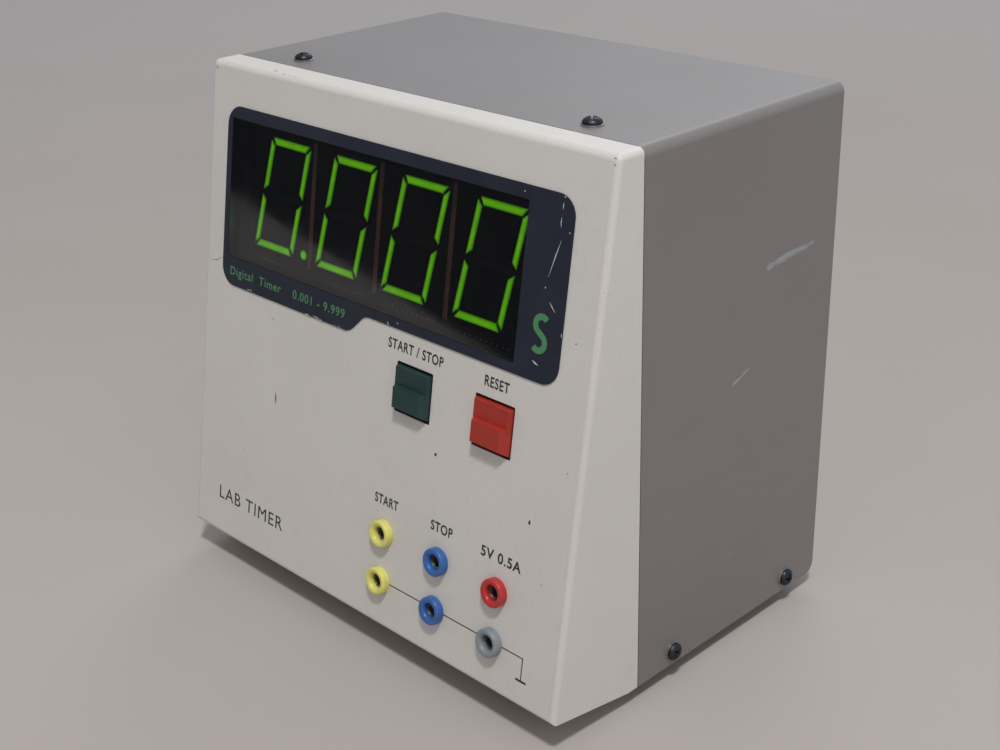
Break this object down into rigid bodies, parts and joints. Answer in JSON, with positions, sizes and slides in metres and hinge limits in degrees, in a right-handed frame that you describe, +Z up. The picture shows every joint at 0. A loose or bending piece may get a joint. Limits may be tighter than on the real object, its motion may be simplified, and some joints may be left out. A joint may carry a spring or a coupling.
{
  "type": "lab timer",
  "caption": "Bench stop-clock in a sheet-metal case: sloping front with a large green digital display, start/stop and reset keys, and coloured banana sockets.",
  "frame": {"origin": "centre of the footprint (bounding box), on the table, at the soles of the feet", "axes": "+X to the right as seen by someone facing the display, +Y from the display towards the back, +Z up"},
  "size_m": [0.2056, 0.1526, 0.1981],
  "materials": {
    "cream_paint": "satin baked paint, slightly warm off-white, chipped along the edges",
    "taupe_paint": "matt baked paint with a very fine grain",
    "navy_plate": "satin, thinly printed plate with scratches",
    "smoked_window": "clear gloss, dark smoked acrylic",
    "display_green": "lit segment, bright yellow-green",
    "display_dark": "unlit black filter of a digit module",
    "joint_strip": "dull brown strip between digit modules",
    "black_print": "screen-printed ink",
    "green_print": "screen-printed ink",
    "green_key": "satin moulded plastic",
    "red_key": "satin moulded plastic",
    "yellow_socket": "glossy moulded plastic",
    "blue_socket": "glossy moulded plastic",
    "red_socket": "glossy moulded plastic",
    "grey_socket": "glossy moulded plastic",
    "black_plastic": "moulded, light texture",
    "rubber": "moulded black rubber",
    "black_steel": "black oxide, oiled",
    "plated_steel": "zinc plated sheet",
    "brass": "turned brass",
    "circuit_board": "glass-epoxy board with solder mask",
    "transformer_iron": "stacked iron laminations, varnished",
    "winding_tape": "polyester winding tape",
    "capacitor_sleeve": "shrunk plastic sleeve"
  },
  "bodies": {
    "case": {"front_panel": "cream_paint", "cover": "taupe_paint", "base_chassis": "plated_steel", "rear_panel": "taupe_paint", "foot_1": "rubber", "foot_2": "rubber", "foot_3": "rubber", "foot_4": "rubber", "top_screw_left": "black_steel", "side_screw_left_front": "black_steel", "side_screw_left_rear": "black_steel", "rear_screw_left": "black_steel", "top_screw_right": "black_steel", "side_screw_right_front": "black_steel", "side_screw_right_rear": "black_steel", "rear_screw_right": "black_steel", "bezel_plate": "navy_plate", "window_pane": "smoked_window", "digit_module_1": "black_plastic", "digit_module_2": "black_plastic", "digit_module_3": "black_plastic", "digit_module_4": "black_plastic", "display_board": "circuit_board", "display_standoff_1": "brass", "display_standoff_2": "brass", "display_standoff_3": "brass", "display_standoff_4": "brass", "start_stop_switch": "black_plastic", "start_stop_spring": "plated_steel", "reset_switch": "black_plastic", "reset_spring": "plated_steel", "start_socket_upper": "yellow_socket", "start_socket_upper_contact": "brass", "start_socket_upper_nut": "plated_steel", "start_socket_lower": "yellow_socket", "start_socket_lower_contact": "brass", "start_socket_lower_nut": "plated_steel", "stop_socket_upper": "blue_socket", "stop_socket_upper_contact": "brass", "stop_socket_upper_nut": "plated_steel", "stop_socket_lower": "blue_socket", "stop_socket_lower_contact": "brass", "stop_socket_lower_nut": "plated_steel", "supply_socket_upper": "red_socket", "supply_socket_upper_contact": "brass", "supply_socket_upper_nut": "plated_steel", "supply_socket_lower": "grey_socket", "supply_socket_lower_contact": "brass", "supply_socket_lower_nut": "plated_steel", "mains_inlet": "black_plastic", "power_switch": "black_plastic", "fuse_holder": "black_plastic", "transformer_core": "transformer_iron", "transformer_winding": "winding_tape", "main_board": "circuit_board", "smoothing_capacitor": "capacitor_sleeve"},
    "start_stop_key": {"start_stop_key": "green_key"},
    "reset_key": {"reset_key": "red_key"},
    "power_rocker": {"power_rocker": "black_plastic"},
    "fuse_cap": {"fuse_cap": "black_plastic"}
  },
  "joints": [
    {"name": "start_stop_press", "type": "slide", "parent": "case", "child": "start_stop_key", "axis": [0, 0.9856, -0.1692], "range_m": [0, 0.003], "stiffness_N_per_m": 300, "springref_m": -0.001, "deforming": ["start_stop_spring"]},
    {"name": "reset_press", "type": "slide", "parent": "case", "child": "reset_key", "axis": [0, 0.9856, -0.1692], "range_m": [0, 0.003], "stiffness_N_per_m": 300, "springref_m": -0.001, "deforming": ["reset_spring"]},
    {"name": "power_rocker_tilt", "type": "hinge", "parent": "case", "child": "power_rocker", "pos_m": [0.026, 0.0653, 0.038], "axis": [1, 0, 0], "range_deg": [-16, 0]},
    {"name": "fuse_cap_turn", "type": "hinge", "parent": "case", "child": "fuse_cap", "pos_m": [-0.002, 0.0678, 0.038], "axis": [0, 1, 0], "range_deg": [0, 90]}
  ]
}
